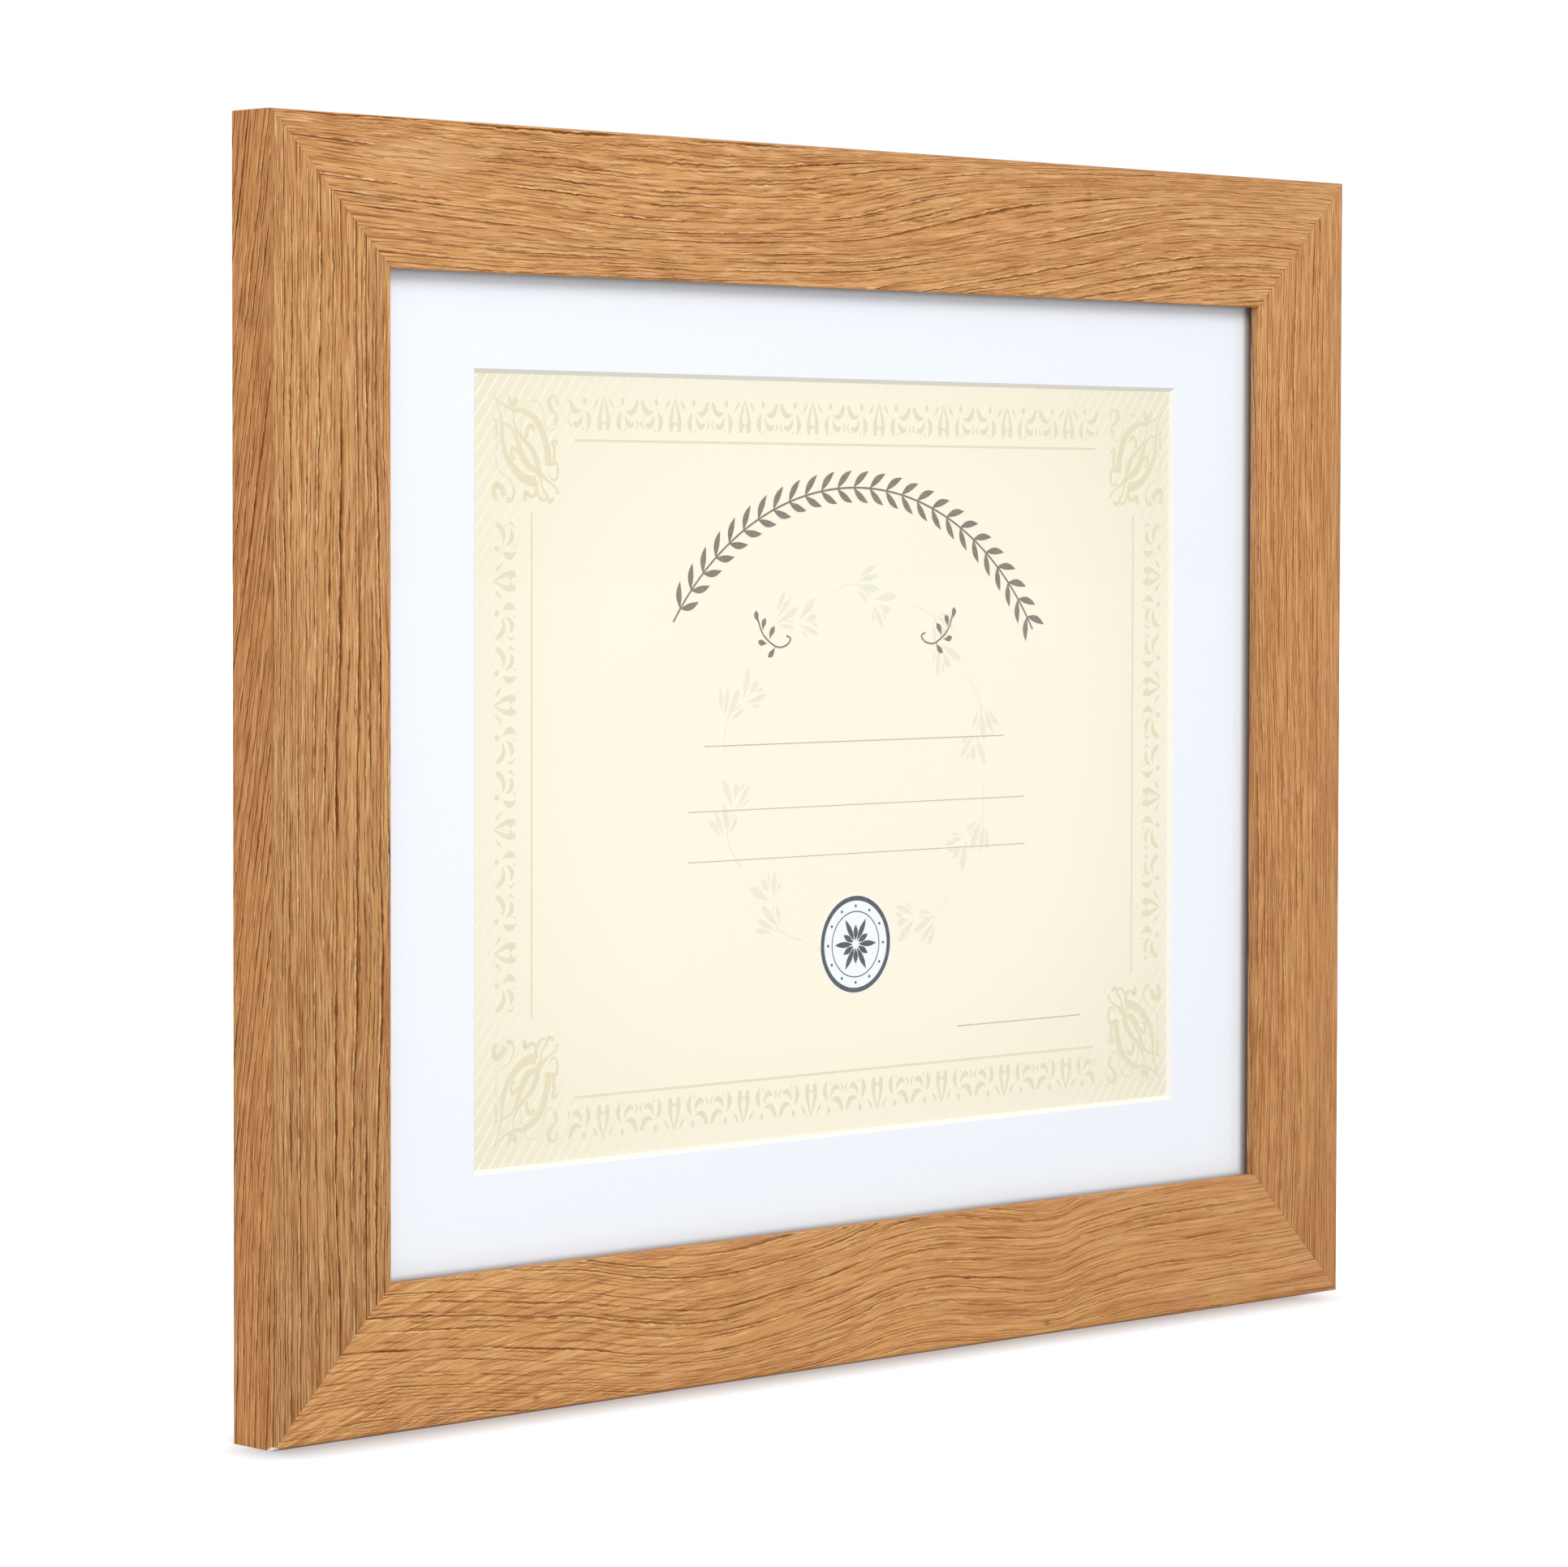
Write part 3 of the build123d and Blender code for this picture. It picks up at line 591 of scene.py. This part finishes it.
corner = [
    stroke([(0.6, -0.4), (3.3, -2.5), (7.4, -4.2), (10.9, -4.3), (14.2, -5.8), (17.2, -8.6), (18.9, -12.3),
        (19.8, -15.6), (20, -19.2)], [0, 0.3, 0.6, 1], [0.12, 0.6, 1.1, 1.15]),
    stroke([(0.6, -0.6), (2.5, -4.2), (3.4, -7.6), (3.6, -11.2), (4.7, -15.8), (7.1, -19.2), (10.1, -21.9),
        (13, -23.1), (15.6, -23.3)], [0, 0.3, 0.6, 1], [0.12, 0.55, 1.0, 1.5]),
    stroke([(7.3, -4.5), (8, -8), (9.4, -10.3), (12, -12.8), (14.2, -14.8), (16, -18), (16.5, -20), (18.6, -22.4),
        (21, -23.8), (22.6, -25), (23.6, -26.8)], [0, 0.5, 0.8, 1], [0.15, 1.0, 0.3, 0.4]),
    stroke([(3.5, -7.7), (6.2, -8.6), (8.4, -11), (9.6, -14.1), (11.2, -17.3), (13.4, -19.5), (15.4, -20.3),
        (17.2, -22.4), (17.9, -25), (19.8, -27.6), (20.4, -28.8), (22, -27.9)], [0, 0.4, 0.7, 1],
        [0.2, 1.15, 0.3, 0.55]),
    stroke([(11.6, -3.8), (12.3, -2.2), (14.5, -1.4), (17, -2.7), (18.4, -5.2), (18.9, -8), (20.6, -9.5),
        (22.8, -8.6), (23.2, -6.6)], [0, 1], [0.14, 0.14]),
    stroke([(23, -5.4), (21.3, -4), (20.2, -2.3), (20.8, -0.6), (22.4, -0.4), (23.4, -1.6), (23.3, -2.9)],
        [0, 0.3, 0.7, 1], [0.3, 0.8, 0.3, 0.4], 30),
    leaf((23, -5), (21.8, -8.2), 1.5, 0.15),
    stroke([(21.8, -19), (22.2, -14.6), (21.6, -12.9), (22.6, -12.3), (23.6, -13.6)], [0, 0.5, 1], [0.5, 0.6, 0.25],
        24),
    stroke([(20, -18.6), (22.8, -18.4), (23.4, -20.6), (22.8, -22.8), (21, -22.6), (20.6, -21)], [0, 0.3, 1],
        [0.6, 0.5, 0.12], 24),
    stroke([(12.2, -11.8), (12.6, -9.2), (14, -8.4), (15, -9.6)], [0, 1], [0.65, 0.65], 16),
    stroke([(10.2, -13.8), (10.4, -6.6), (12.2, -5.4)], [0, 1], [0.13, 0.13], 16),
    stroke([(9.4, -15.6), (7.2, -14.2), (7, -16.4), (8.2, -17.6)], [0, 1], [0.45, 0.45], 16),
    stroke([(3, -12.6), (1.4, -15), (1.8, -19.4), (4, -21.6), (6.4, -23), (7.8, -26), (7, -28.2), (5.2, -28.4)],
        [0, 0.6, 1], [0.13, 0.2, 0.8]),
    stroke([(4.6, -27.4), (3.4, -25.2), (1.4, -24.4), (0.6, -26), (1.4, -28.4)], [0, 0.5, 1], [0.9, 0.9, 0.7], 24),
    stroke([(15.6, -23.2), (15.6, -26.4), (14, -27.4), (11.8, -26.4), (11.6, -28.6)], [0, 0.4, 1], [0.7, 0.5, 0.7], 24),
    stroke([(15.6, -25.6), (17.2, -28), (19, -28.4), (19.8, -26.4)], [0, 1], [0.5, 0.2], 20),
    leaf((6, -3.2), (8.4, -0.4), 2.2, -0.2),
    leaf((6.6, -3.8), (5.6, 0.2), 1.1),
    leaf((2.4, -7.6), (0.2, -6.6), 0.9),
    leaf((1.4, -7.6), (0.8, -12.4), 1.3, 0.1),
]
border = []
# The bands along the top and the foot, the two at the sides, where the units are drawn out, and then the corners.
first_x, unit_step, top_z, foot_z = -91.5, 26.4, 101.2, -101.6
for k in range(8):
    x = first_x + k * unit_step
    border += placed(unit, (x, top_z))
    border += placed(unit, (x, foot_z), 0, (1, -1))
first_z, side_step, left_x, right_x, side_scale = 51.2, 33.4, -130.8, 134.2, (1.24, 0.83)
for k in range(4):
    z = first_z - k * side_step
    border += placed(unit, (left_x, z), 90, side_scale)
    border += placed(unit, (right_x, z), -90, side_scale)
corner_z = 101.4
for up in (1, -1):
    for right, corner_x in ((-1, -131.6), (1, 135.2)):
        border += placed(corner, (corner_x, corner_z * up), 0, (-right, up))
rule_w = 0.32
border += [
    line((-102, 89.3), (105, 89.3), rule_w),
    line((-102, -89.8), (105, -89.8), rule_w),
    line((-117.5, 69.8), (-117.5, -67.3), rule_w),
    line((121.8, 69), (121.8, -68.5), rule_w),
]
printed("print_border", border, ink_of("beige_ink", "#EAE2C2", "#E6DDBA"))

# Wreath: ten sprigs set round a circle, in a grey-green tint that hardly shows on the paper.
# A sprig is a curved stem with two fans of slender leaves.
sprig = [stroke([(-4, -1.0), (0, -0.2), (6.4, -0.4), (9.2, -2.5), (11.2, -5.8)], [0, 1], [0.12, 0.22], 16)]
sprig_leaves = [
    ((8.6, 1.2), (15.5, 2.6), 1.8), ((7.3, 0.2), (16, -0.4), 1.8), ((6.9, -1), (15.8, -4.6), 2.3),
    ((6.9, -1.9), (10.1, -7), 1.4), ((12.8, -6.7), (21.9, -7.9), 2.5), ((14.2, -8.8), (18.3, -11.7), 2.2),
    ((15.3, -10.8), (16.2, -14.1), 1.0), ((11.7, -7.3), (14.6, -15.6), 1.7), ((11.4, -9), (11.2, -13.2), 0.9),
]
sprig += [leaf(start, end, width, blunt=0.4) for start, end, width in sprig_leaves]
wreath = []
wreath_centre, wreath_radius = (5.7, -4), 53
for k in range(10):
    turn = 98 - 36 * k
    wreath += placed(sprig, around(wreath_centre, wreath_radius, turn), turn - 84)
printed("print_wreath", wreath, ink_of("pale_green_ink", "#F2EEDB", "#ECEAD5"))

# Laurel and rules: an arch of paired leaves over two sprigs, in brown-grey ink, and four pale lines to write on.
# Each leaf of a pair stands at 38 degrees to the arch's stem.
laurel = []
arch_centre, arch_radius = (5.0, -8.2), 85.3
laurel.append(ribbon(around(arch_centre, arch_radius, np.linspace(146, 31, 90)), 0.28))
for turn in np.linspace(143, 34, 26):
    root = around(arch_centre, arch_radius, turn)
    for lay, size in ((38, 7.6), (-38, 7.2)):
        laurel.append(leaf(root, around(root, size, turn - 90 + lay), 2.0, 0.06 * np.sign(lay)))
twig = [stroke([(0, 0), (2.6, -6), (7.6, -9.6), (11.6, -9.4), (13.4, -7.6), (11.8, -6.6)], [0, 1], [0.24, 0.24], 30)]
twig_leaves = [((2.6, -5.2), (3.6, -1.6)), ((5.2, -7.8), (7.2, -4)), ((4.4, -8.6), (0.8, -8))]
twig_leaves += [((7.4, -9.6), (4.6, -12.6)), ((0.8, -2.8), (0, 0.6))]
twig += [leaf(start, end, 1.7, 0.08, blunt=0.6) for start, end in twig_leaves]
laurel += placed(twig, (-34.2, 41.8)) + placed(twig, (45, 42), 0, (-1, 1))
printed("print_laurel", laurel, ink_of("brown_grey_ink", "#8B8678", "#777265"), layer=1)
rules = [
    line((-54, 4.7), (66, 4.7), 0.15),
    line((46.8, -79.8), (99.5, -79.8), 0.15),
    line((-60, -13.5), (75, -13.5), 0.12),
    line((-60, -27.5), (75, -27.5), 0.12),
]
printed("print_rules", rules, ink_of("light_grey_ink", "#C6C7B9", "#BABCAE"), layer=1)

# Seal: a white disc with a dark rim, a ring of dots and a star of six long and six short rays.
# The disc is printed over the wreath, and the slate ink over the disc.
seal_centre, seal_w = (5.2, -53.6), 28.4
white_ink = ink_of("white_ink", "#FBFEFF", "#F7FBFD")
printed("print_seal_ground", [dot(seal_centre, seal_w, seal_w, 61)], white_ink, layer=1)
seal = [ring(seal_centre, 13.2, 1.35), ring(seal_centre, 9.4, 0.3)]
long_ray, short_ray, dots_out, dot_w = 8.2, 5.6, 11, 0.8
for k in range(12):
    turn = 30 * k
    ray = long_ray if k % 2 == 0 else short_ray
    seal.append(leaf(around(seal_centre, 1.2, turn), around(seal_centre, ray, turn), 1.7))
    seal.append(dot(around(seal_centre, dots_out, turn), dot_w, dot_w, 9))
printed("print_seal", seal, ink_of("slate_ink", "#4C545A", "#3E454A"), layer=2)

# Corrugated pad: double wall card that presses the sheet and the mat forward.
# Brown kraft paper with 1.4 mm specks of pulp, and the flutes showing faintly through it.
made, tree, shader = material("kraft_card", Roughness=0.9)
there = add(tree, "TexCoord").outputs["Object"]
z = add(tree, "SeparateXYZ", there).outputs["Z"]
pulp = add(tree, "TexNoise", there, Scale=700, Detail=4)
shade = add(tree, "MixRGB", pulp, colour("#A9835A"), colour("#C7A178"))
flute_pitch = 6.5 * mm
flute = add(tree, "Math SINE", add(tree, "Math MULTIPLY", z, 2 * math.pi / flute_pitch))
shade = add(tree, "MixRGB", add(tree, "MapRange", flute, -1, 1, 0, 0.15), shade, colour("#8C6A45"))
wire(tree, shader, Base_Color=shade)
dress("corrugated_pad", made)

# Backing board: pressed hardboard that fills the rabbet, flush with the rails' backs.
# Smooth and brown, with a slight sheen from the hot plate that pressed it: clouds of 55 mm, dark flecks of 1.3 mm and
# pale strands of 3.8 by 1.1 mm.
made, tree, shader = material("hardboard", Roughness=0.5)
there = add(tree, "TexCoord").outputs["Object"]
cloud = add(tree, "TexNoise", there, Scale=18, Detail=4)
fleck = add(tree, "TexNoise", there, Scale=750, Detail=3)
strand = add(tree, "TexNoise", add(tree, "VectorMath MULTIPLY", there, (260, 260, 900)), Scale=1, Detail=3)
shade = add(tree, "MixRGB", cloud, colour("#7C5433"), colour("#94683F"))
shade = add(tree, "MixRGB", add(tree, "MapRange", fleck, 0.55, 0.72, 0, 0.7), shade, colour("#5A3A20"))
shade = add(tree, "MixRGB", add(tree, "MapRange", strand, 0.58, 0.72, 0, 0.55), shade, colour("#B58A5C"))
rough = add(tree, "MapRange", cloud, 0.3, 0.7, 0.42, 0.58)
bump = add(tree, "Bump", Strength=0.4, Distance=0.05 * mm, Height=fleck)
wire(tree, shader, Base_Color=shade, Roughness=rough, Normal=bump)
dress("backing_board", made)

# Turn buttons, screws, hangers and their nails: pressed and turned from mild steel, then bright zinc plated.
# The plating is a pale bluish silver with soft cloudy patches of about 4 mm and fine rub marks, 0.2 by 1.1 mm.
made, tree, shader = material("bright_zinc", Metallic=1.0)
there = add(tree, "TexCoord").outputs["Object"]
cloud = add(tree, "TexNoise", there, Scale=260, Detail=3)
rub = add(tree, "TexNoise", add(tree, "VectorMath MULTIPLY", there, (5000, 5000, 900)), Scale=1, Detail=2)
shade = add(tree, "MixRGB", cloud, colour("#989DA3"), colour("#C3C7CB"))
rough = add(tree, "MapRange", cloud, 0.3, 0.7, 0.22, 0.40)
bump = add(tree, "Bump", Strength=0.25, Distance=0.02 * mm, Height=rub)
wire(tree, shader, Base_Color=shade, Roughness=rough, Normal=bump)
for name in nodes:
    if name.startswith(("turn_button", "button_screws", "hanger")):
        dress(name, made)

# Studio: a white floor that keeps the frame's soft shadow, a wide lamp up to the left, and an even white surround.
# The floor glows only for the camera, mirrors and the glass, and least beside the frame's foot: a painted shadow there,
# under the real one.
foot_mid, foot_half, foot_front = -0.0105, 0.1965, -0.010
shadow_core, shadow_rim, shadow_end = 0.0025, 0.0165, 0.05


def seen_in(tree):
    """1 for a ray from the camera, off a mirror or through glass, and 0 for light on its way between surfaces."""
    rays = add(tree, "LightPath")
    seen = add(tree, "Math MAXIMUM", rays.outputs["Is Camera Ray"], rays.outputs["Is Glossy Ray"])
    return add(tree, "Math MAXIMUM", seen, rays.outputs["Is Transmission Ray"])


half = 15.0
mesh = bpy.data.meshes.new("floor")
mesh.from_pydata([(-half, -half, 0), (half, -half, 0), (half, half, 0), (-half, half, 0)], [], [(0, 1, 2, 3)])
floor = bpy.data.objects.new("floor", mesh)
bpy.context.scene.collection.objects.link(floor)
grey = colour("#C8C8C9")
made, tree, shader = material("white_paper_floor", Base_Color=grey, Roughness=0.9, Specular_IOR_Level=0.0)
beside, behind, _ = add(tree, "SeparateXYZ", add(tree, "TexCoord").outputs["Object"]).outputs
beside = add(tree, "Math ABSOLUTE", add(tree, "Math SUBTRACT", beside, foot_mid))
beside = add(tree, "Math MAXIMUM", add(tree, "Math SUBTRACT", beside, foot_half), 0)
ahead = add(tree, "Math SUBTRACT", behind, foot_front)
away = add(tree, "VectorMath LENGTH", add(tree, "CombineXYZ", beside, ahead, 0)).outputs["Value"]
# Painted shadow: the glow rises with the distance from the foot.
lift = add(tree, "MapRange", away, shadow_core, shadow_rim, 0.05, 0.48)
lift = add(tree, "Math ADD", lift, add(tree, "MapRange", away, shadow_rim, shadow_end, 0.0, 0.5))
glow = add(tree, "Emission", (1, 1, 1, 1), add(tree, "Math MULTIPLY", seen_in(tree), lift))
both = add(tree, "AddShader", shader, glow)
tree.links.new(both.outputs[0], tree.nodes["Material Output"].inputs["Surface"])
mesh.materials.append(made)

# The surround is full white to the eye, and lights the frame with a little less, a touch cooler.
world = bpy.data.worlds.new("surround")
bpy.context.scene.world = world
world.use_nodes = True
tree = world.node_tree
seen = seen_in(tree)
fill = 0.735
strength = add(tree, "Math MULTIPLY_ADD", seen, 1 - fill, fill)
sky = add(tree, "MixRGB", seen, colour("#FAFCFF"), colour("#FFFFFF"))
wire(tree, tree.nodes["Background"], Strength=strength, Color=sky)

# The lamp is a large soft box, high before the frame and to its left.
key = bpy.data.objects.new("key_lamp", bpy.data.lights.new("key_lamp", "AREA"))
key.data.shape, key.data.size, key.data.size_y = "RECTANGLE", 1.6, 1.2
key.data.energy = 37
key.location = (-1.0, -1.95, 1.75)
aim = Vector((0, 0, mid_z * mm)) - key.location
key.rotation_euler = aim.to_track_quat("-Z", "Y").to_euler()
bpy.context.scene.collection.objects.link(key)

bpy.context.scene.view_settings.view_transform = "Standard"
